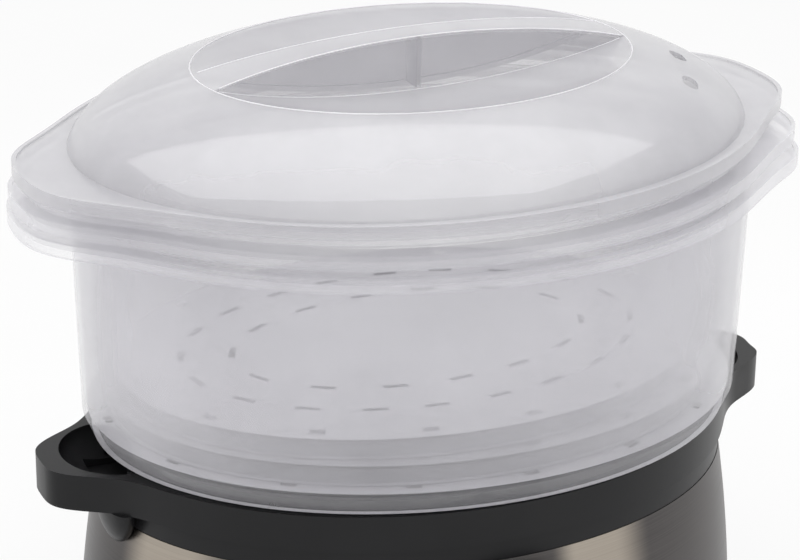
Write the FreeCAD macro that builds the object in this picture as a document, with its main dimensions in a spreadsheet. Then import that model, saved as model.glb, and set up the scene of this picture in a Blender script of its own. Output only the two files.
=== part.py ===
# Electric food steamer, packed for storage: an oval steel base with a black collar, and on it
# three nested steaming bowls under a domed lid.
# Frame: millimetres, +Z up, origin on the table under the middle of the base.
# The collar's ears lie along X and the timer knob faces -Y.

import FreeCAD, Part
import math
import os
import re

import Sketcher

doc = FreeCAD.newDocument("food_steamer")
sheet = doc.addObject("Spreadsheet::Sheet", "sizes")

# Driving sizes in millimetres and degrees. An oval is named by its half length along X; its half
# width is less by narrowing. Clearances come first.
driving_sizes = {
    "narrowing": 27.2,
    "seat_gap": 0.3,
    "fixed_gap": 0.15,
    "running_gap": 0.06,
    # bowls
    "bowl_height": 90.0,
    "bowl_wall": 1.8,
    "bowl_foot": 121.8,
    "bowl_low": 125.2,
    "bowl_top": 127.4,
    "bowl_corner_height": 8.0,
    "bowl_floor_height": 6.5,
    "bowl_foot_wall": 2.2,
    "bowl_step_in": 5.0,
    "rim_reach": 130.1,
    "tab_reach": 150.0,
    "tab_spread": 15.5,
    "rim_height": 5.2,
    "rim_wall": 1.7,
    "rim_bead": 0.8,
    "rim_plate": 1.8,
    "small_rim_trim": 1.2,
    "small_tab_trim": 3.9,
    # slots in the bowl floors
    "edge_slot_length": 5.6,
    "edge_slot_width": 3.6,
    "edge_slot_inset": 4.2,
    "floor_slot_length": 9.0,
    "floor_slot_width": 2.4,
    "floor_slot_spacing": 19.0,
    # how the pieces were set down, seen from above
    "large_turn": -3.0,
    "medium_turn": -1.0,
    "small_turn": 2.5,
    "small_shift": -1.4,
    # lid
    "lid_rim": 131.4,
    "lid_tab_reach": 148.4,
    "lid_skirt": 2.2,
    "lid_plate": 1.8,
    "lid_bead": 1.0,
    "lid_wall": 1.7,
    "dome_rise": 38.0,
    "dome_drop": 1.5,
    "dome_length": 128.0,
    "dome_width": 99.0,
    "dish_bottom": 16.5,
    "dish_depth": 40.0,
    "dish_length": 120.0,
    "dish_width": 92.8,
    "grip_waist": 6.2,
    "grip_flare": 11.5,
    "grip_length": 95.0,
    "grip_web": 1.6,
    "vent_width": 5.6,
    "vent_length": 9.0,
    "vent_distance": 99.5,
    # collar
    "seat_height": 118.0,
    "collar_reach": 122.8,
    "collar_band": 13.8,
    "collar_height": 21.0,
    "collar_step": 0.7,
    "collar_wall": 2.6,
    "collar_plate": 4.0,
    "collar_lip": 5.0,
    "locating_reach": 117.0,
    "locating_wall": 3.8,
    "locating_rise": 3.4,
    "collar_mouth": 105.0,
    "tray_ledge_drop": 2.4,
    "ear_reach": 145.5,
    "ear_spread": 8.8,
    "scoop_depth": 9.6,
    "scoop_length": 21.0,
    "scoop_width": 23.0,
    "scoop_margin": 8.0,
    "chute_width": 24.0,
    "chute_wall": 2.0,
    "chute_depth": 9.0,
    "lobe_radius": 15.0,
    "lobe_drop": 15.0,
    "lobe_thickness": 6.0,
    "lobe_offset": 14.0,
    # steel sleeve
    "sleeve_top": 122.3,
    "sleeve_middle": 127.8,
    "sleeve_bottom": 130.2,
    "sleeve_wall": 0.8,
    # water tank
    "tank_top": 109.0,
    "tank_bottom": 98.0,
    "tank_wall": 2.0,
    "tank_flange": 118.0,
    "tank_flange_thickness": 2.2,
    "tank_floor_level": 36.0,
    "tank_boss_radius": 5.0,
    "tank_boss_x": 66.0,
    "tank_boss_y": 34.0,
    "screw_radius": 1.7,
    "screw_head": 2.8,
    "screw_head_height": 2.0,
    "screw_bite": 8.0,
    # heater
    "heater_radius": 41.0,
    "heater_hole": 32.0,
    "heater_dome_radius": 28.0,
    "heater_dome_rise": 9.0,
    "heater_plate_thickness": 2.4,
    "seal_thickness": 1.6,
    "element_ring": 19.0,
    "element_tube": 3.2,
    "element_leg": 16.0,
    "element_pin": 2.2,
    "clamp_thickness": 1.5,
    "stud_circle": 36.5,
    "stud_radius": 1.5,
    "nut_radius": 3.2,
    "nut_height": 2.4,
    "thermostat_radius": 8.0,
    "thermostat_height": 8.0,
    "fuse_radius": 2.0,
    "fuse_length": 12.0,
    "fuse_offset": 12.0,
    # steam ring and drip tray
    "steam_ring_radius": 52.0,
    "steam_ring_height": 60.0,
    "steam_ring_wall": 1.8,
    "steam_ring_arch": 22.0,
    "steam_ring_arch_height": 7.0,
    "tray_wall": 1.6,
    "tray_depth": 12.0,
    "tray_bottom": 94.0,
    "chimney_radius": 34.0,
    "chimney_rise": 16.0,
    # bottom cover and feet
    "foot_height": 3.0,
    "foot_radius": 8.0,
    "foot_stem": 3.0,
    "foot_x": 88.0,
    "foot_y": 58.0,
    "cover_reach": 132.0,
    "cover_taper": 3.0,
    "cover_floor": 2.5,
    "cover_rim_level": 9.0,
    "cover_lip_rise": 5.0,
    "cover_lip_wall": 2.2,
    "terminal_length": 30.0,
    "terminal_width": 14.0,
    "terminal_height": 12.0,
    "terminal_y": 72.0,
    # timer and control bezel
    "control_level": 56.0,
    "bezel_radius": 38.0,
    "bezel_face": 106.0,
    "bezel_neck": 35.0,
    "bezel_neck_wall": 2.5,
    "bezel_back": 90.0,
    "bezel_plate": 2.5,
    "dial_radius": 25.0,
    "dial_floor": 100.5,
    "knob_radius": 21.5,
    "knob_face": 114.0,
    "knob_gap": 0.6,
    "knob_grip": 9.0,
    "knob_skirt": 4.0,
    "shaft_radius": 3.0,
    "shaft_bite": 9.0,
    "timer_width": 44.0,
    "timer_height": 40.0,
    "timer_depth": 13.0,
    "timer_ear": 9.5,
    "timer_ear_height": 12.0,
    "timer_ear_thickness": 2.0,
    "timer_screw_x": 28.7,
    "small_screw": 1.4,
    "small_screw_head": 2.6,
    "small_screw_bite": 4.5,
    "lens_radius": 2.2,
    "lens_rise": 29.0,
    "lens_proud": 0.6,
    "lamp_length": 8.0,
    # cord gland
    "gland_level": 26.0,
    "gland_radius": 7.0,
    "gland_flange": 9.5,
    "gland_nose": 5.5,
    "gland_bore": 3.6,
    "gland_end": 114.0,
    "gland_seat": 103.4,
    "gland_inside": 94.0,
}

for row, (name, number) in enumerate(driving_sizes.items(), start=1):
    sheet.set("A%d" % row, name)
    sheet.set("B%d" % row, str(number))
    sheet.setAlias("B%d" % row, name)
doc.recompute()


def worked_out(formula):
    """The number that a sum of products of sheet names comes to."""
    total = 0.0
    for term in formula.replace("-", "+ -1 *").split("+"):
        if term.strip():
            product = 1.0
            for factor in term.split("*"):
                factor = factor.strip()
                product *= float(sheet.get(factor)) if factor in driving_sizes else float(factor)
            total += product
    return total


def bound(formula):
    """The same sum as an expression on the sheet's cells."""
    return re.sub(r"[a-z][a-z_]*", lambda word: "sizes." + word.group(), formula)


def bind(item, **rules):
    """Tie properties of an object to the sheet; x, y and z are its place."""
    for name, formula in rules.items():
        target = "Placement.Base." + name if name in "xyz" else name
        item.setExpression(target, bound(formula))


# Ovals, blocks and rounds

def upright(label, outline, low, height):
    """A flat outline at one level drawn up into a solid."""
    bind(outline, z=low)
    solid = doc.addObject("Part::Extrusion", label)
    solid.Base = outline
    solid.DirMode = "Custom"
    solid.Dir = FreeCAD.Vector(0, 0, 1)
    bind(solid, LengthFwd=height)
    solid.Solid = True
    return solid


def oval_bar(label, half_length, low, height):
    """An upright oval bar."""
    outline = doc.addObject("Part::Ellipse", label + "_outline")
    bind(outline, MajorRadius=half_length, MinorRadius=half_length + " - narrowing")
    return upright(label, outline, low, height)


def oval_solid(label, rings, smooth=False):
    """A closed solid through a stack of different ovals, each a half length and a level."""
    sections = []
    for number, (half_length, level) in enumerate(rings):
        ring = doc.addObject("Part::Ellipse", "%s_ring_%d" % (label, number))
        bind(ring, MajorRadius=half_length, MinorRadius=half_length + " - narrowing", z=level)
        sections.append(ring)
    loft = doc.addObject("Part::Loft", label)
    loft.Sections = sections
    loft.Solid = True
    loft.Ruled = not smooth
    return loft


def tabbed_solid(label, half_length, reach, spread, low, height):
    """An upright solid on an oval whose two ends swell smoothly out into tabs."""
    length = worked_out(half_length)
    width = length - worked_out("narrowing")
    swell = worked_out(reach) - length
    points = []
    steps = 96
    for step in range(steps):
        angle = 2 * math.pi * step / steps
        from_end = math.degrees(math.atan2(abs(math.sin(angle)), abs(math.cos(angle))))
        plain = 1 / math.hypot(math.cos(angle) / length, math.sin(angle) / width)
        radius = plain + swell / (1 + (from_end / worked_out(spread)) ** 4)
        points.append(FreeCAD.Vector(radius * math.cos(angle), radius * math.sin(angle), 0))
    curve = Part.BSplineCurve()
    curve.interpolate(points, PeriodicFlag=True)
    outline = doc.addObject("Part::Feature", label + "_outline")
    outline.Shape = Part.Wire(curve.toShape())
    return upright(label, outline, low, height)


def block(label, length, width, height, x, y, z):
    """A box whose x and y name its middle, and z its underside."""
    box = doc.addObject("Part::Box", label)
    bind(box, Length=length, Width=width, Height=height, z=z)
    bind(box, x="%s - (%s) / 2" % (x, length), y="%s - (%s) / 2" % (y, width))
    return box


def round_bar(label, radius, height, x, y, z):
    """An upright cylinder on its underside."""
    bar = doc.addObject("Part::Cylinder", label)
    bind(bar, Radius=radius, Height=height, x=x, y=y, z=z)
    return bar


def front_bar(label, radius, reach, length, x, z):
    """A cylinder along Y, from a distance in front of the middle back towards it."""
    bar = doc.addObject("Part::Cylinder", label)
    bar.Placement.Rotation = FreeCAD.Rotation(FreeCAD.Vector(1, 0, 0), -90)
    bind(bar, Radius=radius, Height=length, x=x, y="-(%s)" % reach, z=z)
    return bar


def ball(label, half_height, half_length, half_width, x, y, z):
    """An ellipsoid about its centre."""
    item = doc.addObject("Part::Ellipsoid", label)
    bind(item, Radius1=half_height, Radius2=half_length, Radius3=half_width, x=x, y=y, z=z)
    return item


def joined(label, *pieces):
    """One solid of several."""
    union = doc.addObject("Part::MultiFuse", label)
    union.Shapes = list(pieces)
    return union


def cut(label, base, *tools):
    """A solid with others taken out of it in turn."""
    for number, tool in enumerate(tools, start=1):
        last = number == len(tools)
        result = doc.addObject("Part::Cut", label if last else "%s_step_%d" % (label, number))
        result.Base = base
        result.Tool = tool
        base = result
    return base


def common(label, base, tool):
    """What two solids share."""
    result = doc.addObject("Part::Common", label)
    result.Base = base
    result.Tool = tool
    return result


def group(label, pieces):
    """Several like solids kept as one."""
    result = doc.addObject("Part::Compound", label)
    result.Links = list(pieces)
    return result


def turned(label, corners, x="0", y="0", z="0", tilt=0):
    """A body of revolution from corners of radius and height, tilted about X."""
    body = doc.addObject("PartDesign::Body", label)
    profile = body.newObject("Sketcher::SketchObject", label + "_profile")
    plane = [item for item in body.Origin.OriginFeatures if item.Role == "XZ_Plane"][0]
    profile.AttachmentSupport = (plane, "")
    profile.MapMode = "FlatFace"
    spots = [FreeCAD.Vector(worked_out(radius), worked_out(height), 0) for radius, height in corners]
    count = len(corners)
    for number in range(count):
        profile.addGeometry(Part.LineSegment(spots[number], spots[(number + 1) % count]), False)
    for number in range(count):
        profile.addConstraint(Sketcher.Constraint("Coincident", number, 2, (number + 1) % count, 1))
    for number, corner in enumerate(corners):
        for axis, along, place, rule in ((-2, "DistanceX", spots[number].x, corner[0]),
                                         (-1, "DistanceY", spots[number].y, corner[1])):
            if abs(place) < 1e-6:
                profile.addConstraint(Sketcher.Constraint("PointOnObject", number, 1, axis))
            else:
                tie = profile.addConstraint(Sketcher.Constraint(along, -1, 1, number, 1, place))
                profile.setExpression("Constraints[%d]" % tie, bound(rule))
    spin = body.newObject("PartDesign::Revolution", label + "_turn")
    spin.Profile = profile
    spin.ReferenceAxis = (profile, ["V_Axis"])
    spin.Angle = 360.0
    body.Placement.Rotation = FreeCAD.Rotation(FreeCAD.Vector(1, 0, 0), tilt)
    bind(body, x=x, y=y, z=z)
    return body


nodes = []


def piece(item, name):
    """Give a finished piece its name and list it for export."""
    item.Label = name
    nodes.append((name, item))
    return item


def set_down(item, turn, shift, level):
    """Turn a finished piece about the upright axis and put it at its level."""
    item.Placement.Rotation = FreeCAD.Rotation(FreeCAD.Vector(0, 0, 1), worked_out(turn))
    bind(item, x=shift, z=level)
    return item


def nest_level(place):
    """Level of the foot of a bowl that is nested in so many others."""
    return "seat_height + seat_gap + %d * bowl_floor_height + %d * bowl_wall + %d * seat_gap" % (
        place, place, place)


# Steaming bowls. Each stands on the floor of the one outside it, so the rims rise in even steps.

def slot_ring(label, half_length, count, length, width, low, height, phase):
    """Upright slots spaced evenly round an oval, each lying along its edge."""
    along = worked_out(half_length)
    across = along - worked_out("narrowing")
    plan = doc.addObject("Sketcher::SketchObject", label + "_plan")
    angles = [math.radians(degree) for degree in range(361)]
    travelled = [0.0]
    for first, second in zip(angles, angles[1:]):
        step_x = along * (math.cos(second) - math.cos(first))
        step_y = across * (math.sin(second) - math.sin(first))
        travelled.append(travelled[-1] + math.hypot(step_x, step_y))
    for number in range(count):
        wanted = travelled[-1] * (number + phase) / count
        angle = min(angles, key=lambda item: abs(travelled[round(math.degrees(item))] - wanted))
        middle = FreeCAD.Vector(along * math.cos(angle), across * math.sin(angle), 0)
        edge = FreeCAD.Vector(-along * math.sin(angle), across * math.cos(angle), 0).normalize()
        half = edge * (worked_out(length) / 2)
        side = FreeCAD.Vector(edge.y, -edge.x, 0) * (worked_out(width) / 2)
        corners = [middle - half - side, middle + half - side, middle + half + side,
                   middle - half + side]
        for first, second in zip(corners, corners[1:] + corners[:1]):
            plan.addGeometry(Part.LineSegment(first, second), False)
    return upright(label, plan, low, height)


def bowl(name, place, turn, shift, rim_trim, tab_trim):
    """One bowl: foot ring, slotted floor, tapering wall and a hollow rim with a tab at each end."""
    inset = " - %d * bowl_step_in" % place
    rim_edge = "rim_reach - " + rim_trim
    tab_edge = "tab_reach - " + tab_trim
    rim = tabbed_solid(name + "_rim", rim_edge, tab_edge, "tab_spread",
                       "bowl_height - rim_height", "rim_height")
    channel = tabbed_solid(name + "_channel", rim_edge + " - rim_wall", tab_edge + " - rim_wall",
                           "tab_spread", "bowl_height - rim_height - rim_wall",
                           "rim_height + rim_wall - rim_bead - rim_plate")
    recess = tabbed_solid(name + "_recess", rim_edge + " - rim_wall", tab_edge + " - rim_wall",
                          "tab_spread", "bowl_height - rim_bead", "rim_bead + rim_wall")
    wall = oval_solid(name + "_wall", [
        ("bowl_foot" + inset, "0"),
        ("bowl_low" + inset, "bowl_corner_height"),
        ("bowl_top" + inset, "bowl_height - rim_bead"),
    ])
    cavity = oval_solid(name + "_cavity", [
        ("bowl_low - bowl_wall" + inset, "bowl_floor_height + bowl_wall"),
        ("bowl_top - bowl_wall" + inset, "bowl_height + rim_wall"),
    ])
    hollow_foot = oval_bar(name + "_hollow_foot", "bowl_foot - bowl_foot_wall" + inset,
                           "0 - bowl_wall", "bowl_floor_height + bowl_wall")
    low = "bowl_floor_height - bowl_wall"
    depth = "3 * bowl_wall"
    slots = [slot_ring(name + "_edge_slots", "bowl_foot - edge_slot_inset" + inset, 15,
                       "edge_slot_length", "edge_slot_width", low, depth, 0.5)]
    for ring, count in ((1, 20), (2, 14)):
        line = "bowl_foot - edge_slot_inset - %d * floor_slot_spacing%s" % (ring, inset)
        slots.append(slot_ring("%s_floor_slots_%d" % (name, ring), line, count,
                               "floor_slot_length", "floor_slot_width", low, depth, 0.25 * ring))
    flange = cut(name + "_flange", rim, channel, recess)
    finished = cut(name, joined(name + "_blank", flange, wall), cavity, hollow_foot, *slots)
    set_down(finished, turn, shift, nest_level(place))
    return piece(finished, name)


bowl("bowl_large", 0, "large_turn", "0", "0", "0")
bowl("bowl_medium", 1, "medium_turn", "0", "0", "0")
bowl("bowl_small", 2, "small_turn", "small_shift", "small_rim_trim", "small_tab_trim")


# Lid: a thin dome with two scoops pressed into its crown, which leave a hollow grip between them.

def waisted_ridge(label, thinner):
    """The grip between the scoops as an upright solid, narrow at its middle."""
    reach = worked_out("grip_length")
    waist = worked_out("grip_waist - " + thinner)
    flare = worked_out("grip_flare - " + thinner)
    plan = doc.addObject("Sketcher::SketchObject", label + "_plan")
    corners = [FreeCAD.Vector(-reach, -flare, 0), FreeCAD.Vector(reach, -flare, 0),
               FreeCAD.Vector(reach, flare, 0), FreeCAD.Vector(-reach, flare, 0)]
    plan.addGeometry(Part.Arc(corners[0], FreeCAD.Vector(0, -waist, 0), corners[1]), False)
    plan.addGeometry(Part.LineSegment(corners[1], corners[2]), False)
    plan.addGeometry(Part.Arc(corners[2], FreeCAD.Vector(0, waist, 0), corners[3]), False)
    plan.addGeometry(Part.LineSegment(corners[3], corners[0]), False)
    return upright(label, plan, "0", "2 * dome_rise")


def steam_vents():
    """Two short slots through the dome at its right front, side by side."""
    plan = doc.addObject("Sketcher::SketchObject", "lid_vents_plan")
    distance = worked_out("vent_distance")
    radius = worked_out("vent_width") / 2
    straight = worked_out("vent_length") / 2 - radius
    for bearing in (-28.0, -13.5):
        turn = FreeCAD.Rotation(FreeCAD.Vector(0, 0, 1), bearing)
        spots = [turn.multVec(FreeCAD.Vector(distance + out, side, 0)) for out, side in (
            (-radius, -straight), (0, -straight - radius), (radius, -straight),
            (radius, straight), (0, straight + radius), (-radius, straight))]
        plan.addGeometry(Part.Arc(spots[0], spots[1], spots[2]), False)
        plan.addGeometry(Part.LineSegment(spots[2], spots[3]), False)
        plan.addGeometry(Part.Arc(spots[3], spots[4], spots[5]), False)
        plan.addGeometry(Part.LineSegment(spots[5], spots[0]), False)
    return upright("lid_vents", plan, "lid_plate", "dome_rise")


def lid():
    """The lid, in its own frame with the underside of its rim plate at zero."""
    rim = tabbed_solid("lid_rim_blank", "lid_rim", "lid_tab_reach", "tab_spread",
                       "0 - lid_skirt", "lid_skirt + lid_plate + lid_bead")
    under = tabbed_solid("lid_under", "lid_rim - rim_wall", "lid_tab_reach - rim_wall",
                         "tab_spread", "0 - 2 * lid_skirt", "2 * lid_skirt")
    over = tabbed_solid("lid_over", "lid_rim - rim_wall", "lid_tab_reach - rim_wall",
                        "tab_spread", "lid_plate", "2 * lid_bead")
    above = block("lid_above", "2 * dome_length + rim_wall", "2 * dome_length", "2 * dome_rise",
                  "0", "0", "0")
    dome = common("lid_dome", ball("lid_dome_ball", "dome_rise", "dome_length", "dome_width",
                                   "0", "0", "0 - dome_drop"), above)
    scoops = cut("lid_scoops", ball("lid_dish", "dish_depth", "dish_length", "dish_width",
                                    "0", "0", "dish_bottom + dish_depth"),
                 waisted_ridge("lid_grip", "0"))
    scoops_under = cut("lid_scoops_under",
                       ball("lid_dish_under", "dish_depth + lid_wall", "dish_length + lid_wall",
                            "dish_width + lid_wall", "0", "0", "dish_bottom + dish_depth"),
                       waisted_ridge("lid_grip_hollow", "lid_wall"))
    hollow = cut("lid_hollow", ball("lid_hollow_ball", "dome_rise - lid_wall",
                                    "dome_length - lid_wall", "dome_width - lid_wall",
                                    "0", "0", "0 - dome_drop"), scoops_under)
    web = common("lid_web", hollow, block("lid_web_blank", "grip_web", "2 * grip_flare",
                                          "2 * dome_rise", "0", "0", "dish_bottom"))
    flange = cut("lid_flange", rim, under, over)
    shell = cut("lid_shell", joined("lid_blank", flange, dome), scoops, hollow)
    finished = cut("lid", joined("lid_webbed", shell, web), steam_vents())
    set_down(finished, "small_turn", "small_shift", nest_level(2) + " + bowl_height + seat_gap")
    return piece(finished, "lid")


lid()


# Collar: one black moulding that carries the bowls, with a scooped water inlet at each end.

band_foot = "seat_height - collar_band"
collar_foot = "seat_height - collar_height"
plate_underside = "seat_height - collar_plate"
chute_floor = plate_underside + " - chute_depth"
sleeve_head = collar_foot + " - fixed_gap"
sleeve_foot = "foot_height + cover_rim_level + fixed_gap"


def barrel(label, change=""):
    """The sleeve's barrelled form, with a change of size all round."""
    return oval_solid(label, [
        ("sleeve_bottom" + change, sleeve_foot),
        ("sleeve_middle" + change, "control_level"),
        ("sleeve_top" + change, sleeve_head),
    ], smooth=True)


def sided(item, side, start, length):
    """Put a box at one end of the piece, reaching outwards from a distance along X."""
    bind(item, x=start if side > 0 else "-(%s) - (%s)" % (start, length))
    return item


def collar():
    """Band with ears, set-back lower band, top plate, locating ring and inlet chutes."""
    band = tabbed_solid("collar_band_solid", "collar_reach", "ear_reach", "ear_spread",
                        band_foot, "collar_band")
    lower = oval_bar("collar_lower", "collar_reach - collar_step", collar_foot,
                     "collar_height - collar_band + collar_step")
    lip_reach = "sleeve_top - sleeve_wall - seat_gap"
    lip = oval_bar("collar_lip_solid", lip_reach, collar_foot + " - collar_lip",
                   "collar_lip + collar_step")
    ring = oval_bar("collar_locating", "locating_reach", plate_underside,
                    "collar_plate + locating_rise")
    lobe = ball("collar_lobe", "lobe_drop", "lobe_thickness", "lobe_radius",
                "collar_step - collar_reach", "0 - lobe_offset", band_foot)
    lobe_under = block("collar_lobe_under", "3 * lobe_radius", "3 * lobe_radius", "lobe_drop",
                       "0 - collar_reach", "0 - lobe_offset", band_foot + " - lobe_drop")
    lobe_back = oval_solid("collar_lobe_back", [
        ("sleeve_middle - fixed_gap", collar_foot + " - 2 * lobe_drop"),
        ("sleeve_top + seat_gap", collar_foot)])
    lobe = cut("collar_lobe_solid", common("collar_lobe_half", lobe, lobe_under), lobe_back)
    solid = joined("collar_blank", band, lower, lip, ring, lobe)
    under = oval_bar("collar_under", lip_reach + " - collar_wall",
                     collar_foot + " - collar_height",
                     "2 * collar_height - collar_plate")
    mouth = oval_bar("collar_mouth_cut", "collar_mouth", collar_foot + " - collar_plate",
                     "2 * collar_height")
    ledge = oval_bar("collar_ledge", "locating_reach - locating_wall",
                     "seat_height - tray_ledge_drop", "collar_height")
    solid = cut("collar_open", solid, under, mouth, ledge)
    guard = oval_bar("collar_scoop_guard", "locating_reach", "seat_height - 2 * scoop_depth",
                     "4 * scoop_depth")
    chutes = []
    hollows = []
    chute_reach = "collar_reach - collar_mouth - collar_step"
    passage_reach = "collar_reach - collar_mouth + 3 * chute_wall"
    for side in (-1, 1):
        tag = "left" if side < 0 else "right"
        chute = block("collar_chute_" + tag, chute_reach, "chute_width", "chute_depth",
                      "0", "0", chute_floor)
        chutes.append(sided(chute, side, "collar_mouth", chute_reach))
        passage = block("collar_passage_" + tag, passage_reach, "chute_width - 2 * chute_wall",
                        "chute_depth - chute_wall", "0", "0", chute_floor + " + chute_wall")
        hollows.append(sided(passage, side, "collar_mouth - chute_wall", passage_reach))
        scoop = ball("collar_scoop_" + tag, "scoop_depth", "scoop_length", "scoop_width",
                     "%d * (ear_reach - scoop_margin - scoop_length)" % side, "0", "seat_height")
        scoop.Placement.Rotation = FreeCAD.Rotation(FreeCAD.Vector(0, 0, 1), 90 + 90 * side)
        hollows.append(cut("collar_inlet_" + tag, scoop, guard))
    screws = [round_bar("collar_screw_hole_%d" % number, "screw_radius + fixed_gap",
                        "screw_bite - collar_plate + collar_step", x, y, plate_underside)
              for number, (x, y) in enumerate(corners_of(tank_screw_x, tank_screw_y))]
    solid = joined("collar_chuted", solid, *chutes)
    return piece(cut("collar", solid, *hollows, *screws), "collar")


# The tank hangs from four screws under the locating ring.
tank_screw_x = "0.694658 * (locating_reach - screw_radius)"
tank_screw_y = "0.719340 * (locating_reach - screw_radius - narrowing)"


def corners_of(x, y):
    """The four places at plus and minus two distances."""
    return [("%d * (%s)" % (right, x), "%d * (%s)" % (back, y))
            for right in (-1, 1) for back in (-1, 1)]


collar()


# Steel sleeve: one wrapped and welded oval shell, slightly barrelled.

def sleeve():
    """The shell, with a round hole for the control bezel and one for the cord gland."""
    shell = cut("sleeve_shell", barrel("sleeve_outer"), barrel("sleeve_inner", " - sleeve_wall"))
    neck_hole = front_bar("sleeve_neck_hole", "bezel_neck + fixed_gap", "knob_face",
                          "knob_face - knob_skirt", "0", "control_level")
    gland_hole = front_bar("sleeve_gland_hole", "gland_radius + fixed_gap", "0", "gland_end",
                           "0", "gland_level")
    return piece(cut("steel_sleeve", shell, neck_hole, gland_hole), "steel_sleeve")


sleeve()


# Water tank: a tapering tub hung from the collar, on four legs that take the cover screws.

tank_rim = plate_underside + " - fixed_gap"
cover_inside = "foot_height + cover_floor"


def round_pattern(label, radius, height, circle, low, angles=(90, 210, 330)):
    """Like upright cylinders evenly spaced on a circle."""
    bars = []
    for number, angle in enumerate(angles):
        turn = math.radians(angle)
        bars.append(round_bar("%s_%d" % (label, number), radius, height,
                              "%.9f * %s" % (math.cos(turn), circle),
                              "%.9f * %s" % (math.sin(turn), circle), low))
    return bars


def water_tank():
    """Tub, rim flange, legs, the heater's hole and notches for the inlet chutes."""
    tub = oval_solid("tank_outer", [("tank_bottom", "tank_floor_level"), ("tank_top", tank_rim)])
    flange = oval_bar("tank_rim", "tank_flange", tank_rim + " - tank_flange_thickness",
                      "tank_flange_thickness")
    inside = oval_solid("tank_inside", [
        ("tank_bottom - tank_wall", "tank_floor_level + tank_wall"),
        ("tank_top - tank_wall", tank_rim + " + tank_wall")])
    legs = []
    leg_height = "tank_floor_level + tank_wall - fixed_gap - (%s)" % cover_inside
    holes = [round_bar("tank_heater_hole", "heater_hole", "3 * tank_wall", "0", "0",
                       "tank_floor_level - tank_wall")]
    for number, (x, y) in enumerate(corners_of("tank_boss_x", "tank_boss_y")):
        legs.append(round_bar("tank_leg_%d" % number, "tank_boss_radius", leg_height, x, y,
                              cover_inside + " + fixed_gap"))
        holes.append(round_bar("tank_leg_hole_%d" % number, "screw_radius + fixed_gap",
                               "2 * screw_bite", x, y, cover_inside + " - screw_bite"))
    for number, (x, y) in enumerate(corners_of(tank_screw_x, tank_screw_y)):
        holes.append(round_bar("tank_flange_hole_%d" % number, "screw_radius + fixed_gap",
                               "3 * tank_flange_thickness", x, y,
                               tank_rim + " - 2 * tank_flange_thickness"))
    holes += round_pattern("tank_stud_hole", "stud_radius + seat_gap", "3 * tank_wall",
                           "stud_circle", "tank_floor_level - tank_wall")
    notch_reach = "tank_flange - collar_mouth + 2 * tank_wall"
    for side in (-1, 1):
        notch = block("tank_notch_%d" % (side + 1), notch_reach, "chute_width + 4 * seat_gap",
                      "chute_depth + 2 * seat_gap", "0", "0", chute_floor + " - 2 * seat_gap")
        holes.append(sided(notch, side, "collar_mouth - tank_wall", notch_reach))
    solid = joined("tank_blank", tub, flange, *legs)
    return piece(cut("water_tank", solid, inside, *holes), "water_tank")


water_tank()


def screws(name, places, radius, head, head_height, bite, level):
    """Pan-head screws driven upwards; the head's top face is at the level."""
    made = []
    for number, (x, y) in enumerate(places):
        made.append(turned("%s_%d" % (name, number), [
            ("0", "0 - " + head_height),
            (head, "0 - " + head_height),
            (head, "0"),
            (radius, "0"),
            (radius, bite),
            ("0", bite),
        ], x, y, level))
    return piece(group(name, made), name)


screws("tank_screws", corners_of(tank_screw_x, tank_screw_y), "screw_radius", "screw_head",
       "screw_head_height", "screw_bite - tank_flange_thickness",
       tank_rim + " - tank_flange_thickness")
screws("cover_screws", corners_of("tank_boss_x", "tank_boss_y"), "screw_radius", "screw_head",
       "screw_head_height", "screw_bite", "foot_height")


# Heater: a domed plate clamped through the tank floor on a seal, with its element underneath.

seal_level = "tank_floor_level + tank_wall"
heater_level = seal_level + " + seal_thickness"
dome_ceiling = heater_level + " + heater_dome_rise - heater_plate_thickness"
clamp_level = "tank_floor_level - clamp_thickness"


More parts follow.
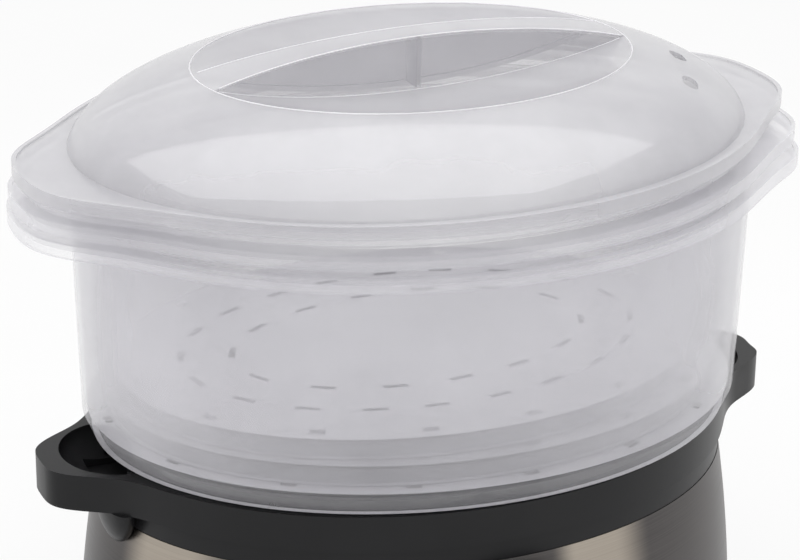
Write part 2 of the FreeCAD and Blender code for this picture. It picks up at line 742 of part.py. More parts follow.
def heater():
    """The plate and what hangs on it."""
    plate = turned("heater_dome", [
        ("0", "heater_dome_rise - heater_plate_thickness"),
        ("heater_dome_radius - heater_plate_thickness", "heater_dome_rise - heater_plate_thickness"),
        ("heater_dome_radius", "0"),
        ("heater_radius", "0"),
        ("heater_radius", "heater_plate_thickness"),
        ("heater_dome_radius + heater_plate_thickness", "heater_plate_thickness"),
        ("heater_dome_radius - seal_thickness", "heater_dome_rise"),
        ("0", "heater_dome_rise"),
    ], z=heater_level)
    stud_foot = clamp_level + " - nut_height"
    studs = round_pattern("heater_stud", "stud_radius",
                          "tank_wall + clamp_thickness + nut_height + 2 * seal_thickness",
                          "stud_circle", stud_foot)
    piece(joined("heater_plate", plate, *studs), "heater_plate")

    seal = turned("heater_seal_ring", [
        ("heater_hole + fixed_gap", "0"), ("heater_radius", "0"),
        ("heater_radius", "seal_thickness"), ("heater_hole + fixed_gap", "seal_thickness")],
        z=seal_level)
    seal_holes = round_pattern("heater_seal_hole", "stud_radius + fixed_gap", "3 * seal_thickness",
                               "stud_circle", "tank_floor_level")
    piece(cut("heater_seal", seal, *seal_holes), "heater_seal")

    clamp = turned("heater_clamp_ring", [
        ("heater_hole - clamp_thickness", "0"), ("heater_radius", "0"),
        ("heater_radius", "clamp_thickness"), ("heater_hole - clamp_thickness", "clamp_thickness")],
        z=clamp_level)
    clamp_holes = round_pattern("heater_clamp_hole", "stud_radius + fixed_gap",
                                "3 * clamp_thickness", "stud_circle",
                                clamp_level + " - clamp_thickness")
    piece(cut("heater_clamp", clamp, *clamp_holes), "heater_clamp")

    nut_blanks = round_pattern("heater_nut", "nut_radius", "nut_height", "stud_circle", stud_foot)
    nut_bores = round_pattern("heater_nut_bore", "stud_radius + fixed_gap", "3 * nut_height",
                              "stud_circle", stud_foot + " - nut_height")
    nuts = [cut("heater_nut_%d_threaded" % number, blank, bore)
            for number, (blank, bore) in enumerate(zip(nut_blanks, nut_bores))]
    piece(group("heater_nuts", nuts), "heater_nuts")

    ring = doc.addObject("Part::Torus", "element_loop")
    element_level = dome_ceiling + " - element_tube"
    bind(ring, Radius1="element_ring", Radius2="element_tube", z=element_level)
    legs = round_pattern("element_end", "element_pin", "element_leg", "element_ring",
                         element_level + " - element_leg", (250, 290))
    piece(joined("heater_element", ring, *legs), "heater_element")

    sensor = turned("thermostat", [
        ("0", "0 - thermostat_height"), ("thermostat_radius", "0 - thermostat_height"),
        ("thermostat_radius", "0"), ("0", "0")], z=dome_ceiling)
    piece(sensor, "thermostat")

    fuse = doc.addObject("Part::Cylinder", "thermal_fuse")
    fuse.Placement.Rotation = FreeCAD.Rotation(FreeCAD.Vector(0, 1, 0), 90)
    bind(fuse, Radius="fuse_radius", Height="fuse_length", x="-0.5 * fuse_length",
         y="fuse_offset", z=dome_ceiling + " - fuse_radius")
    piece(fuse, "thermal_fuse")


heater()


# Steam ring: a loose tube that stands round the heater so that the first steam comes quickly.

def steam_ring():
    """Tube with a turned-in top and four arches at its foot for the water."""
    wall = turned("steam_tube", [
        ("steam_ring_radius - steam_ring_wall", "0"),
        ("steam_ring_radius", "0"),
        ("steam_ring_radius", "steam_ring_height"),
        ("steam_ring_radius - 3 * steam_ring_wall", "steam_ring_height"),
        ("steam_ring_radius - 3 * steam_ring_wall", "steam_ring_height - steam_ring_wall"),
        ("steam_ring_radius - steam_ring_wall", "steam_ring_height - steam_ring_wall"),
    ], z="tank_floor_level + tank_wall + seat_gap")
    low = "tank_floor_level + tank_wall - steam_ring_arch_height"
    height = "2 * steam_ring_arch_height"
    arches = [block("steam_arch_x", "3 * steam_ring_radius", "steam_ring_arch", height, "0", "0", low),
              block("steam_arch_y", "steam_ring_arch", "3 * steam_ring_radius", height, "0", "0", low)]
    return piece(cut("steam_ring", wall, *arches), "steam_ring")


steam_ring()


# Drip tray: hangs on the collar's ledge and keeps the juices out of the tank.

def drip_tray():
    """Oval tray with a rim and a chimney for the steam."""
    rim_level = "seat_height - tray_ledge_drop + seat_gap"
    floor_level = rim_level + " - tray_depth"
    rim_reach = "locating_reach - locating_wall - 2 * seat_gap"
    wall_top = "collar_mouth - 5 * seat_gap"
    body = oval_solid("tray_outer", [("tray_bottom", floor_level), (wall_top, rim_level)])
    rim = oval_bar("tray_rim", rim_reach, rim_level, "tray_wall")
    inside = oval_solid("tray_inside", [
        ("tray_bottom - tray_wall", floor_level + " + tray_wall"),
        (wall_top + " - tray_wall", rim_level + " + 2 * tray_wall")])
    chimney = round_bar("tray_chimney", "chimney_radius", "chimney_rise", "0", "0", floor_level)
    bore = round_bar("tray_bore", "chimney_radius - tray_wall", "2 * chimney_rise", "0", "0",
                     floor_level + " - tray_depth")
    solid = cut("tray_shell", joined("tray_blank", body, rim), inside)
    return piece(cut("drip_tray", joined("tray_with_chimney", solid, chimney), bore), "drip_tray")


drip_tray()


# Bottom cover: a shallow pan that closes the sleeve and carries the feet.

def bottom_cover():
    """Pan with a rim for the sleeve, a lip inside it, and holes for screws and feet."""
    lip_reach = "sleeve_bottom - sleeve_wall - seat_gap"
    rim_level = "foot_height + cover_rim_level"
    pan = oval_solid("cover_pan", [("cover_reach - cover_taper", "foot_height"),
                                   ("cover_reach", rim_level)])
    lip = oval_bar("cover_lip", lip_reach, "foot_height + 0.5 * cover_floor",
                   "cover_rim_level + cover_lip_rise - 0.5 * cover_floor")
    inside = oval_bar("cover_inside", lip_reach + " - cover_lip_wall", cover_inside,
                      "cover_rim_level + 2 * cover_lip_rise")
    holes = [round_bar("cover_screw_hole_%d" % number, "screw_radius + fixed_gap",
                       "3 * cover_floor", x, y, "foot_height - cover_floor")
             for number, (x, y) in enumerate(corners_of("tank_boss_x", "tank_boss_y"))]
    holes += [round_bar("cover_foot_hole_%d" % number, "foot_stem + fixed_gap",
                        "3 * cover_floor", x, y, "foot_height - cover_floor")
              for number, (x, y) in enumerate(corners_of("foot_x", "foot_y"))]
    return piece(cut("bottom_cover", joined("cover_blank", pan, lip), inside, *holes), "bottom_cover")


bottom_cover()

feet = [turned("rubber_foot_%d" % number, [
    ("0", "0"), ("foot_radius - cover_floor", "0"), ("foot_radius", "cover_floor"),
    ("foot_radius", "foot_height"), ("foot_stem", "foot_height"),
    ("foot_stem", "foot_height + cover_floor + fixed_gap"),
    ("foot_stem + 4 * fixed_gap", "foot_height + cover_floor + fixed_gap"),
    ("foot_stem - 4 * fixed_gap", "foot_height + 2 * cover_floor"),
    ("0", "foot_height + 2 * cover_floor"),
], x, y) for number, (x, y) in enumerate(corners_of("foot_x", "foot_y"))]
piece(group("rubber_feet", feet), "rubber_feet")

terminal_level = cover_inside + " + fixed_gap"
terminal = block("terminal_body", "terminal_length", "terminal_width", "terminal_height",
                 "0", "terminal_y", terminal_level)
terminal_bores = []
terminal_screws = []
for number, share in enumerate((-0.3, 0.0, 0.3)):
    place = "%.1f * terminal_length" % share
    terminal_bores.append(round_bar("terminal_bore_%d" % number, "screw_head + fixed_gap",
                                    "terminal_height", place, "terminal_y",
                                    terminal_level + " + 0.5 * terminal_height"))
    terminal_screws.append(round_bar("terminal_screw_%d" % number, "screw_head",
                                     "0.5 * terminal_height - screw_head_height", place,
                                     "terminal_y", terminal_level + " + 0.5 * terminal_height"))
piece(cut("terminal_block", terminal, *terminal_bores), "terminal_block")
piece(group("terminal_screws", terminal_screws), "terminal_screws")


# Control panel: a round bezel through the sleeve, with the timer behind it and its knob in front.

def facing(label, corners, x="0", z="control_level"):
    """A turned body whose heights are distances in front of the middle of the base."""
    return turned(label, corners, x, "0", z, tilt=90)


def control_bezel():
    """Dished disc and neck, with its back shaped to the sleeve."""
    disc = facing("bezel_disc", [
        ("0", "dial_floor - bezel_plate"),
        ("bezel_neck - bezel_neck_wall", "dial_floor - bezel_plate"),
        ("bezel_neck - bezel_neck_wall", "bezel_back"),
        ("bezel_neck", "bezel_back"),
        ("bezel_neck", "bezel_back + bezel_plate"),
        ("bezel_radius", "bezel_back + bezel_plate"),
        ("bezel_radius", "bezel_face - bezel_plate"),
        ("bezel_radius - bezel_plate", "bezel_face"),
        ("dial_radius + bezel_plate", "bezel_face"),
        ("dial_radius", "dial_floor"),
        ("0", "dial_floor"),
    ])
    seat = cut("bezel_seat", barrel("bezel_seat_form", " + seat_gap"),
               front_bar("bezel_seat_hole", "bezel_neck", "knob_face", "knob_face", "0",
                         "control_level"))
    holes = [front_bar("bezel_shaft_hole", "shaft_radius + seat_gap", "knob_face",
                       "knob_face - bezel_back", "0", "control_level"),
             front_bar("bezel_lens_hole", "lens_radius + fixed_gap", "knob_face",
                       "knob_face - bezel_back", "0", "control_level + lens_rise")]
    for side in (-1, 1):
        holes.append(front_bar("bezel_screw_hole_%d" % (side + 1), "small_screw + fixed_gap",
                               "dial_floor - bezel_plate + small_screw_bite",
                               "small_screw_bite + bezel_plate", "%d * timer_screw_x" % side,
                               "control_level"))
    return piece(cut("control_bezel", disc, seat, *holes), "control_bezel")


control_bezel()

timer_front = "dial_floor - bezel_plate - fixed_gap"


def timer():
    """Clockwork timer case with two screw ears and a bore for its shaft."""
    case = block("timer_case", "timer_width", "timer_depth", "timer_height", "0", "0",
                 "control_level - 0.5 * timer_height")
    ears = block("timer_ears", "timer_width + 2 * timer_ear", "timer_ear_thickness",
                 "timer_ear_height", "0", "0", "control_level - 0.5 * timer_ear_height")
    bind(ears, y="-(%s)" % timer_front)
    bind(case, y="-(%s)" % timer_front)
    holes = [front_bar("timer_bore", "shaft_radius + running_gap", "dial_floor",
                       "bezel_plate + fixed_gap + shaft_bite", "0", "control_level")]
    for side in (-1, 1):
        holes.append(front_bar("timer_ear_hole_%d" % (side + 1), "small_screw + fixed_gap",
                               "dial_floor", "2 * bezel_plate + 2 * timer_ear_thickness",
                               "%d * timer_screw_x" % side, "control_level"))
    return piece(cut("timer_body", joined("timer_blank", case, ears), *holes), "timer_body")


timer()

ear_back = timer_front + " - timer_ear_thickness"
timer_screws = [facing("timer_screw_%d" % (side + 1), [
    ("0", ear_back + " - screw_head_height"),
    ("small_screw_head", ear_back + " - screw_head_height"),
    ("small_screw_head", ear_back),
    ("small_screw", ear_back),
    ("small_screw", timer_front + " + small_screw_bite"),
    ("0", timer_front + " + small_screw_bite"),
], x="%d * timer_screw_x" % side) for side in (-1, 1)]
piece(group("timer_screws", timer_screws), "timer_screws")

shaft_end = "knob_face - knob_skirt"
shaft = facing("timer_shaft", [
    ("0", timer_front + " - shaft_bite + seat_gap"),
    ("shaft_radius", timer_front + " - shaft_bite + seat_gap"),
    ("shaft_radius", shaft_end),
    ("0", shaft_end),
])
piece(shaft, "timer_shaft")


def knob():
    """Round skirt with a straight grip across it."""
    back = "dial_floor + knob_gap"
    skirt = facing("knob_skirt_disc", [
        ("0", back),
        ("knob_radius", back),
        ("knob_radius", back + " + 0.5 * knob_skirt"),
        ("knob_radius - 0.5 * knob_skirt", back + " + knob_skirt"),
        ("0", back + " + knob_skirt"),
    ])
    drum = facing("knob_drum", [
        ("0", back),
        ("knob_radius - 0.5 * knob_skirt", back),
        ("knob_radius - 0.5 * knob_skirt", "knob_face - 0.5 * knob_skirt"),
        ("knob_radius - knob_skirt", "knob_face"),
        ("0", "knob_face"),
    ])
    bar = block("knob_bar", "knob_grip", "knob_face - dial_floor", "3 * knob_radius", "0", "0",
                "control_level - 1.5 * knob_radius")
    bind(bar, y="-knob_face")
    grip = common("knob_grip_bar", drum, bar)
    bore = front_bar("knob_bore", "shaft_radius + fixed_gap", shaft_end + " + fixed_gap",
                     "knob_face - dial_floor", "0", "control_level")
    return piece(cut("timer_knob", joined("knob_blank", skirt, grip), bore), "timer_knob")


knob()

lens = facing("pilot_lens", [
    ("0", "dial_floor - bezel_plate"),
    ("lens_radius", "dial_floor - bezel_plate"),
    ("lens_radius", "bezel_face"),
    ("lens_radius - lens_proud", "bezel_face + lens_proud"),
    ("0", "bezel_face + lens_proud"),
], z="control_level + lens_rise")
piece(lens, "pilot_lens")
lamp = facing("pilot_lamp", [
    ("0", timer_front + " - lamp_length"),
    ("lens_radius", timer_front + " - lamp_length"),
    ("lens_radius", timer_front),
    ("0", timer_front),
], z="control_level + lens_rise")
piece(lamp, "pilot_lamp")

gland = turned("cord_gland", [
    ("gland_bore", "gland_inside"),
    ("gland_radius", "gland_inside"),
    ("gland_radius", "gland_seat"),
    ("gland_flange", "gland_seat"),
    ("gland_flange", "gland_seat + cover_floor"),
    ("gland_nose", "gland_end"),
    ("gland_bore", "gland_end"),
], z="gland_level", tilt=-90)
piece(gland, "cord_gland")

doc.recompute()

# Every object must have worked, and every piece must be sound, before anything is written.
for item in doc.Objects:
    if "Invalid" in item.State or "Error" in item.State:
        raise RuntimeError("%s did not build: %s" % (item.Name, item.State))
for name, item in nodes:
    if item.Shape.isNull() or not item.Shape.isValid() or not item.Shape.Solids:
        raise RuntimeError("%s has no sound solid" % name)

os.makedirs("parts", exist_ok=True)
for name, item in nodes:
    item.Shape.exportStep("parts/%s.step" % name)
    print("%-16s %d solid(s) %12.1f mm3" % (name, len(item.Shape.Solids), item.Shape.Volume))
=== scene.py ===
import bmesh
import bpy
import math
from mathutils import Matrix, Vector


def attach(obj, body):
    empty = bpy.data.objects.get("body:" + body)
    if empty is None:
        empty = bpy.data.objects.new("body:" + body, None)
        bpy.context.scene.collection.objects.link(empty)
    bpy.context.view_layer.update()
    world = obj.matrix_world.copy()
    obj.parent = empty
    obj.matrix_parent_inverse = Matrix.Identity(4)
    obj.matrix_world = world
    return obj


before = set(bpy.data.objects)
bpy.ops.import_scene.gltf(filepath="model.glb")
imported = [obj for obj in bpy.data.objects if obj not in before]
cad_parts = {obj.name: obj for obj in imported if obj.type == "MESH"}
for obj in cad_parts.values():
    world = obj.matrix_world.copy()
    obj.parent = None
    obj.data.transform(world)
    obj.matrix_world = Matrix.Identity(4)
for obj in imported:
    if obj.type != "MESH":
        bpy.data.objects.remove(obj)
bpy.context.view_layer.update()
scene = bpy.context.scene
scene.view_settings.view_transform = "Standard"


# Rubber feet: four turned buttons of matt black rubber, each pulled through the cover by its stem.
# The moulding leaves them dull and slightly dusty.

class Socket:
    """A shader socket that adds Math, Vector Math or Mix nodes when it is used as a number."""
    def __init__(self, tree, socket):
        self.tree = tree
        self.socket = socket

    def node(self, kind, inputs=(), output=0, **settings):
        """Any node, with its settings first, then its inputs by name or number."""
        item = self.tree.nodes.new(kind)
        for name, value in settings.items():
            setattr(item, name, value)
        for name, value in dict(inputs).items():
            if isinstance(value, Socket):
                self.tree.links.new(value.socket, item.inputs[name])
            else:
                item.inputs[name].default_value = value
        return Socket(self.tree, item.outputs[output])

    def math(self, operation, other=0.0, swap=False):
        """A Math node on numbers, a Vector Math node on a colour or vector."""
        plain = self.socket.type == "VALUE" and not (
            isinstance(other, Socket) and other.socket.type != "VALUE")
        pair = (other, self) if swap else (self, other)
        if plain:
            return self.node("ShaderNodeMath", {0: pair[0], 1: pair[1]}, operation=operation)
        pair = [(item,) * 3 if isinstance(item, (int, float)) else item for item in pair]
        return self.node("ShaderNodeVectorMath", {0: pair[0], 1: pair[1]}, operation=operation)

    def __add__(self, other):
        return self.math("ADD", other)

    def __mul__(self, other):
        return self.math("MULTIPLY", other)

    def __truediv__(self, other):
        return self.math("DIVIDE", other)

    __radd__ = __add__
    __rmul__ = __mul__

    def __rsub__(self, other):
        return self.math("SUBTRACT", other, swap=True)

    def ramp(self, low, high):
        """0 to 1 between two values, clamped."""
        return self.node("ShaderNodeMapRange", {0: self, 1: low, 2: high}, clamp=True,
                         interpolation_type="SMOOTHSTEP")

    def part(self, axis):
        """One number of a vector."""
        return self.node("ShaderNodeSeparateXYZ", {0: self}, output="XYZ".index(axis))

    def mix(self, first, second):
        """A colour between two, with this number as the share of the second."""
        return self.node("ShaderNodeMix", {0: self, 6: first, 7: second}, output=2,
                         data_type="RGBA")

    def noise(self, scale, detail=2.0):
        return self.node("ShaderNodeTexNoise", {"Vector": self, "Scale": scale, "Detail": detail})

    def bump(self, strength, distance):
        return self.node("ShaderNodeBump", {"Height": self, "Strength": strength,
                                            "Distance": distance})


class Finish:
    """A material with one Principled shader and a socket of object coordinates."""
    def __init__(self, name, **numbers):
        self.material = bpy.data.materials.new(name)
        self.material.use_nodes = True
        tree = self.material.node_tree
        self.shader = tree.nodes["Principled BSDF"]
        self.place = Socket(tree, tree.nodes.new("ShaderNodeTexCoord").outputs["Object"])
        for name, value in numbers.items():
            self.set(name.replace("_", " "), value)

    def set(self, name, value):
        if isinstance(value, Socket):
            self.place.tree.links.new(value.socket, self.shader.inputs[name])
        else:
            self.shader.inputs[name].default_value = value

    def dress(self, *names):
        """Put the finish on carried-over pieces."""
        for name in names:
            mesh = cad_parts[name].data
            mesh.materials.clear()
            mesh.materials.append(self.material)


def grained(name, dark, light, roughness, grain, bump=0.05, **numbers):
    """A finish that drifts between two colours, with a matching drift of roughness and fine grain."""
    finish = Finish(name, **numbers)
    patch = finish.place.noise(grain, 3.0)
    finish.set("Base Color", patch.ramp(0.35, 0.65).mix((*dark, 1.0), (*light, 1.0)))
    finish.set("Roughness", patch * 0.14 + (roughness - 0.07))
    finish.set("Normal", finish.place.noise(grain * 12.0).bump(bump, 0.0002))
    return finish


grained("foot_rubber", (0.022, 0.022, 0.022), (0.038, 0.037, 0.036), 0.82, 300.0,
        bump=0.2).dress("rubber_feet")


# Bottom cover and cord gland: black moulded polypropylene. The cover is screwed up into the tank's
# bosses, and the gland is pressed into its rear hole.

def satin_black(name, grain=14.0, roughness=0.36):
    """Black plastic with a satin skin and a faint unevenness of sheen."""
    finish = Finish(name, Coat_Weight=0.03, Coat_Roughness=0.18, Specular_IOR_Level=0.19)
    wear = finish.place.noise(grain, 4.0)
    finish.set("Base Color", wear.ramp(0.3, 0.7).mix((0.0085, 0.0085, 0.0093, 1.0),
                                                     (0.012, 0.012, 0.0128, 1.0)))
    finish.set("Roughness", wear * 0.14 + (roughness - 0.07))
    finish.set("Normal", finish.place.noise(900.0).bump(0.06, 0.0002))
    return finish


satin_black("cover_black", grain=10.0, roughness=0.42).dress("bottom_cover", "cord_gland")


# Steel sleeve: a wrapped sheet of thin stainless steel, brushed round the wrap and held between
# the cover's lip and the collar. Two soft warm bands, lighter in colour at set angles round it, are a
# painted reflection of the studio lamps.
steel = Finish("brushed_steel", Metallic=1.0)
stretch = steel.place.node("ShaderNodeCombineXYZ", {0: 12.0, 1: 12.0, 2: 2200.0})
brush_lines = (steel.place * stretch).noise(1.0, 3.0)
cloud = steel.place.noise(9.0, 3.0)
half_length, half_width = 0.127, 0.1
around = (steel.place.part("Y") / half_width).math("ARCTAN2", steel.place.part("X") / half_length)
# Painted reflection: two bands of lighter, warmer base colour at fixed angles round the sleeve.
left_painted_streak = around.ramp(-2.96, -2.80) * (1.0 - around.ramp(-2.62, -2.42))
front_painted_streak = around.ramp(-1.47, -1.38) * (1.0 - around.ramp(-1.24, -1.08))
painted_reflection = left_painted_streak + front_painted_streak
tone = (brush_lines * 0.6 + cloud * 0.4).ramp(0.3, 0.7)
steel.set("Base Color", painted_reflection.mix(
    tone.mix((0.076, 0.071, 0.071, 1.0), (0.107, 0.100, 0.097, 1.0)),
    tone.mix((0.345, 0.305, 0.26, 1.0), (0.41, 0.365, 0.31, 1.0))))
steel.set("Roughness", brush_lines * 0.14 + 0.3)
steel.set("Normal", brush_lines.bump(0.05, 0.0001))
steel.dress("steel_sleeve")


# Water tank: a deep oval tub moulded in dark grey polypropylene, hung in the collar by screws.
# It is plain and slightly dull, with faint lime from the water.
grained("tank_grey", (0.035, 0.035, 0.038), (0.052, 0.052, 0.056), 0.5, 40.0).dress("water_tank")


# Heater: a pressed steel plate with studs, its red silicone seal, the clamp ring and three nuts.
# The sheathed element, thermostat and fuse sit under its dome.
grained("heater_steel", (0.50, 0.48, 0.46), (0.62, 0.60, 0.57), 0.32, 60.0,
        Metallic=1.0).dress("heater_plate")
grained("element_sheath", (0.26, 0.24, 0.22), (0.40, 0.36, 0.32), 0.45, 90.0,
        Metallic=1.0).dress("heater_element")
grained("silicone_seal", (0.34, 0.10, 0.06), (0.42, 0.13, 0.08), 0.7, 120.0).dress("heater_seal")
grained("cream_insulator", (0.62, 0.60, 0.55), (0.70, 0.68, 0.62), 0.5,
        140.0).dress("thermostat", "thermal_fuse", "terminal_block")


# Fasteners: zinc plated steel screws, nuts and the clamp ring, with the cloudy sheen of plating.
# They go up or in from outside and hold the mouldings and the heater.
grained("zinc_plate", (0.48, 0.48, 0.50), (0.62, 0.62, 0.63), 0.35, 160.0, Metallic=1.0).dress(
    "heater_clamp", "heater_nuts", "tank_screws", "cover_screws", "terminal_screws",
    "timer_screws")


# Collar: the black moulded ring that joins tank and sleeve. It carries the bowls on its flat seat,
# and its two scooped ears take the water.
satin_black("collar_black").dress("collar")


# Control bezel: a black moulded dish clipped through the sleeve. Its dial is printed in pale ink,
# with a tick for every five minutes and a number for every fifteen.
satin_black("bezel_black", grain=22.0, roughness=0.32).dress("control_bezel")
dial_height = 0.056
tick_level, number_level = -0.10606, -0.10604
tick_start, tick_end, long_tick_end = 0.0282, 0.0291, 0.0298
number_radius = 0.0329
ink = grained("dial_ink", (0.66, 0.66, 0.66), (0.76, 0.76, 0.76), 0.5, 400.0)


def printed(name, patches, level, body):
    """Thin flat print, one patch for each list of corners as x and z from the dial's middle."""
    mesh = bpy.data.meshes.new(name)
    shape = bmesh.new()
    for corners in patches:
        shape.faces.new([shape.verts.new((x, level, dial_height + z)) for x, z in corners])
    shape.to_mesh(mesh)
    shape.free()
    mesh.materials.append(ink.material)
    item = bpy.data.objects.new(name, mesh)
    scene.collection.objects.link(item)
    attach(item, body)


ticks = []
for minute in range(0, 65, 5):
    angle = math.radians(-5.0 * minute)
    half, end = (0.0004, long_tick_end) if minute % 15 == 0 else (0.00025, tick_end)
    corners = ((-half, tick_start), (half, tick_start), (half, end), (-half, end))
    ticks.append([(x * math.cos(angle) - z * math.sin(angle),
                   x * math.sin(angle) + z * math.cos(angle)) for x, z in corners])
printed("dial_ticks", ticks, tick_level, "base")
for minute in range(0, 61, 15):
    angle = math.radians(90.0 - 5.0 * minute)
    figure = bpy.data.curves.new("dial_figure_%d" % minute, "FONT")
    figure.body = str(minute)
    figure.size = 0.0058
    figure.extrude = 0.00003
    figure.align_x = "CENTER"
    figure.align_y = "CENTER"
    figure.materials.append(ink.material)
    number = bpy.data.objects.new("dial_figure_%d" % minute, figure)
    number.rotation_euler = (math.radians(90), 0, 0)
    number.location = (number_radius * math.cos(angle), number_level,
                       dial_height + number_radius * math.sin(angle))
    scene.collection.objects.link(number)
    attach(number, "base")


# Timer and knob: a white clockwork case with its shaft, and a glossy black knob pushed on it.
# The knob's grip has a pale printed pointer.
grained("timer_white", (0.72, 0.72, 0.70), (0.78, 0.78, 0.76), 0.45,
        80.0).dress("timer_body", "timer_shaft")
satin_black("knob_black", grain=30.0, roughness=0.26).dress("timer_knob")
grip_face = -0.11403
half, start, end = 0.0006, 0.008, 0.0165
printed("knob_pointer", [[(-half, start), (half, start), (half, end), (-half, end)]], grip_face,
        "timer")


# Pilot light: a small lens of clear red plastic pressed into the bezel, with a neon lamp of glass
# behind it.
grained("lens_red", (0.42, 0.03, 0.02), (0.55, 0.05, 0.03), 0.15, 200.0).dress("pilot_lens")
grained("lamp_glass", (0.62, 0.55, 0.48), (0.72, 0.66, 0.58), 0.12, 200.0).dress("pilot_lamp")


# Steam ring: a loose tube, moulded in dark grey polypropylene, that stands round the heater in the
# water and is only set in place.
grained("ring_grey", (0.075, 0.075, 0.08), (0.095, 0.095, 0.10), 0.5, 50.0).dress("steam_ring")


# Drip tray: a light grey oval tray on the collar's ledge, moulded with a chimney for the steam.
# It lifts out to be emptied.
grained("tray_grey", (0.50, 0.495, 0.52), (0.57, 0.565, 0.59), 0.42, 45.0).dress("drip_tray")


# Bowls: three nested tubs of frosted polypropylene, thin enough to see through and brighter where
# they are seen edge on. Each stands on the one below it.

def frosted(name, clear, edge, level, milky, painted_shade=1.0):
    """See-through plastic, milkier where walls turn away and, near its floor's level, where they
    lie flat. The lowest part of the walls is clearer."""
    finish = Finish(name, IOR=1.49, Coat_Weight=0.75, Coat_IOR=2.0, Coat_Roughness=0.05,
                    Specular_IOR_Level=0.5)
    facing = finish.place.node("ShaderNodeLayerWeight", {"Blend": 0.45}, output=1)
    upright = finish.place.node("ShaderNodeTexCoord", output="Normal").part("Z")
    flat = upright.math("ABSOLUTE").ramp(0.75, 0.95)
    low = 1.0 - finish.place.part("Z").ramp(level, level + 0.022)
    mottle = finish.place.noise(38.0, 3.0)
    # The shade number dims the plastic's colour as painted shade, so the same plastic is darker on
    # the lid than on the bowls.
    darker = (0.77 * painted_shade, 0.76 * painted_shade, 0.80 * painted_shade, 1.0)
    lighter = (0.82 * painted_shade, 0.81 * painted_shade, 0.85 * painted_shade, 1.0)
    finish.set("Base Color", mottle.ramp(0.35, 0.65).mix(darker, lighter))
    wall = (facing * edge + (mottle * 0.04 + clear)) * (1.0 - low * 0.4)
    finish.set("Alpha", wall + flat * low * milky)
    finish.set("Roughness", mottle * 0.1 + 0.25)
    finish.set("Normal", finish.place.noise(900.0).bump(0.05, 0.0002))
    return finish


largest_floor, nesting_step = 0.119, 0.0086
for number, name in enumerate(("large", "medium", "small")):
    bowl_floor = largest_floor + nesting_step * number
    frosted("frosted_" + name, 0.06, 0.5, bowl_floor, 0.95, painted_shade=0.93).dress("bowl_" + name)
scene.cycles.transparent_max_bounces = 32


# Lid: a domed cover of the same plastic, a little thicker. Two scoops in its top leave a grip
# between them. Fine pale lines laid along the edges of scoops and grip are painted highlights where
# these moulded edges catch the light.
# The lid's plastic is dimmed more than the bowls' as painted shade.
frosted("frosted_lid", 0.29, 0.42, 0.18, 0.0, painted_shade=0.72).dress("lid")
crown, crown_drop, crown_length, crown_width = 0.038, 0.0015, 0.128, 0.099
scoop_top, scoop_depth, scoop_length, scoop_width = 0.0565, 0.040, 0.120, 0.0928
grip_waist, grip_radius = 0.0062, 0.854
line_radius, lid_turn, lid_place = 0.00028, math.radians(2.5), (-0.0014, 0, 0.2257)


def dome(x, y):
    """Height of the lid's crown above its rim."""
    return crown * math.sqrt(1.0 - (x / crown_length) ** 2 - (y / crown_width) ** 2) - crown_drop


def dish(x, y):
    """Height of the scoops' floor above the rim."""
    return scoop_top - scoop_depth * math.sqrt(
        1.0 - (x / scoop_length) ** 2 - (y / scoop_width) ** 2)


def scoop_edge(angle):
    """Where the scoops' floor meets the crown, found by halving the distance."""
    inside, outside = 0.03, 0.09
    for _ in range(24):
        middle = (inside + outside) / 2
        x, y = middle * math.cos(angle), middle * math.sin(angle)
        if dish(x, y) > dome(x, y):
            outside = middle
        else:
            inside = middle
    return inside * math.cos(angle), inside * math.sin(angle)


def grip_side(x):
    """Half the grip's width, waisted in the middle."""
    return grip_waist + grip_radius - math.sqrt(grip_radius ** 2 - x * x)


rim = [scoop_edge(math.radians(step)) for step in range(0, 360, 4)]
grip_end = max(x for x, y in rim) - 0.003
along = [grip_end * (step / 20 - 1.0) for step in range(41)]
runs = [([(x, y, dome(x, y)) for x, y in rim], True)]
for side in (-1, 1):
    for height in (dome, dish):
        runs.append(([(x, side * grip_side(x), height(x, grip_side(x))) for x in along], False))
# Painted highlights: thin pale tubes round the scoops' edge and along both sides of the grip, at the
# crown's height and at the scoops' floor.
edges = bpy.data.curves.new("lid_highlight_lines", "CURVE")
edges.dimensions = "3D"
edges.bevel_depth = line_radius
edges.bevel_resolution = 2
for points, closed in runs:
    line = edges.splines.new("POLY")
    line.points.add(len(points) - 1)
    for point, spot in zip(line.points, points):
        point.co = (*spot, 1.0)
    line.use_cyclic_u = closed
lid_highlight_lines = bpy.data.objects.new("lid_highlight_lines", edges)
lid_highlight_lines.rotation_euler = (0, 0, lid_turn)
lid_highlight_lines.location = lid_place
scene.collection.objects.link(lid_highlight_lines)
painted_edge_highlight = grained("lid_edge_painted_highlight", (0.70, 0.69, 0.72), (0.78, 0.77, 0.80), 0.3, 60.0)
edges.materials.append(painted_edge_highlight.material)
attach(lid_highlight_lines, "lid")


# Table and studio: a wide flat pale sheet that shows white, a white room, and three soft lamps.
# The largest hangs overhead, turned as the camera is, so that it mirrors in the lid's front.
floor_mesh = bpy.data.meshes.new("floor")
floor_reach = 6.0
corners = ((-1, -1), (1, -1), (1, 1), (-1, 1))
floor_mesh.from_pydata([(x * floor_reach, y * floor_reach, 0.0) for x, y in corners], [],
                       [(0, 1, 2, 3)])
floor = bpy.data.objects.new("floor", floor_mesh)
scene.collection.objects.link(floor)


def looked_at(tree):
    """1 for what the camera sees straight, mirrored or through something."""
    path = tree.nodes.new("ShaderNodeLightPath")
    camera_ray, glossy_ray, through = (Socket(tree, path.outputs["Is %s Ray" % kind])
                                       for kind in ("Camera", "Glossy", "Transmission"))
    return camera_ray.math("MAXIMUM", glossy_ray).math("MAXIMUM", through)


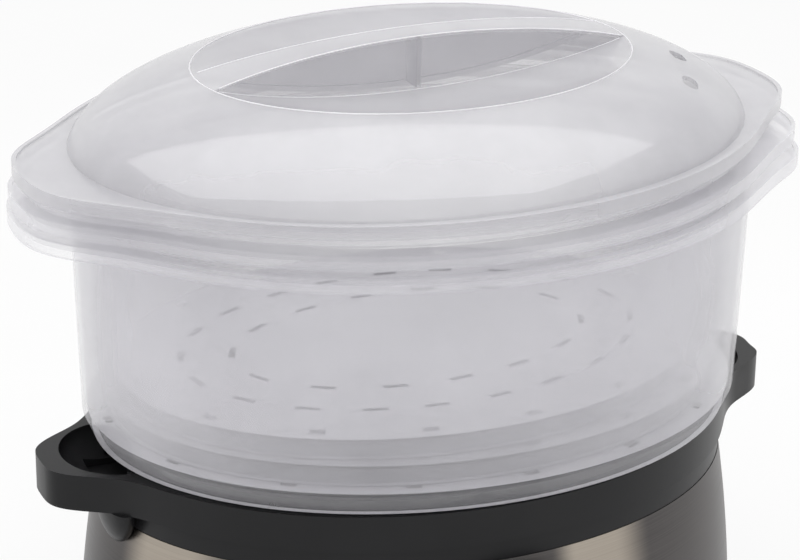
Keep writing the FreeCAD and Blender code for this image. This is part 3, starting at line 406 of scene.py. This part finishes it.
white = (1.0, 1.0, 1.0, 1.0)
floor_glow, room_light = 0.8, 0.42
paper = grained("floor_paper", (0.84, 0.84, 0.84), (0.87, 0.87, 0.87), 0.9, 6.0)
seen = looked_at(paper.place.tree)
glow = seen.node("ShaderNodeEmission", {"Color": white, "Strength": 1.0})
plain = Socket(seen.tree, paper.shader.outputs[0])
sheet = seen.node("ShaderNodeMixShader", {0: seen * floor_glow, 1: plain, 2: glow})
seen.tree.links.new(sheet.socket, seen.tree.nodes["Material Output"].inputs["Surface"])
floor_mesh.materials.append(paper.material)

scene.world = bpy.data.worlds.new("studio")
scene.world.use_nodes = True
scene.world.node_tree.nodes.clear()
seen = looked_at(scene.world.node_tree)
room = seen.node("ShaderNodeBackground", {"Color": white, "Strength": room_light})
backdrop = seen.node("ShaderNodeBackground", {"Color": white, "Strength": 1.0})
sky = seen.node("ShaderNodeMixShader", {0: seen, 1: room, 2: backdrop})
seen.tree.links.new(sky.socket, seen.tree.nodes.new("ShaderNodeOutputWorld").inputs["Surface"])

camera_turn = math.radians(24.0)
stack_middle = Vector((0.0, 0.0, 0.14))
for name, spot, size, power in (("overhead", (-0.07, -0.17, 1.95), (4.2, 2.3), 46.0),
                                ("front", (-0.6, -1.9, 0.9), (1.6, 1.1), 13.0),
                                ("left", (-1.9, 0.1, 0.6), (0.5, 1.2), 5.0)):
    lamp_data = bpy.data.lights.new(name, "AREA")
    lamp_data.shape = "RECTANGLE"
    lamp_data.size, lamp_data.size_y = size
    lamp_data.energy = power
    lamp = bpy.data.objects.new(name, lamp_data)
    lamp.location = spot
    if name == "overhead":
        lamp.rotation_euler = (0.0, 0.0, -camera_turn)
    else:
        lamp.rotation_euler = (stack_middle - Vector(spot)).to_track_quat("-Z", "Y").to_euler()
    lamp.visible_glossy = name == "overhead"
    scene.collection.objects.link(lamp)


# Camera: a long lens a metre away, looking down a little on the lid, with the left ear nearer.
# The aim point lies right of and below the picture's middle, which turns the camera, not the lens.
climb, roll = math.radians(23.7), math.radians(0.86)
aim = Vector((0.0, 0.0, 0.1314))
distance = 1.016
focal_pixels, picture_width = 2700.0, 800.0
across, below = math.atan2(12.6, focal_pixels), math.atan2(85.1, focal_pixels)
forward = Vector((math.sin(camera_turn) * math.cos(climb), math.cos(camera_turn) * math.cos(climb),
                  -math.sin(climb)))
right = Vector((math.cos(camera_turn), -math.sin(camera_turn), 0.0))
down = forward.cross(right)
place = aim - forward * distance


def turned(first, second, angle):
    """Two axes turned about the third."""
    return (first * math.cos(angle) - second * math.sin(angle),
            first * math.sin(angle) + second * math.cos(angle))


right, down = turned(right, down, roll)
forward, down = turned(forward, down, below)
forward, right = turned(forward, right, across)
camera_data = bpy.data.cameras.new("camera")
camera_data.sensor_width = 36.0
camera_data.lens = focal_pixels / picture_width * camera_data.sensor_width
camera = bpy.data.objects.new("camera", camera_data)
camera.matrix_world = (Matrix.Translation(place)
                       @ Matrix((right, -down, -forward)).transposed().to_4x4())
scene.collection.objects.link(camera)
scene.camera = camera
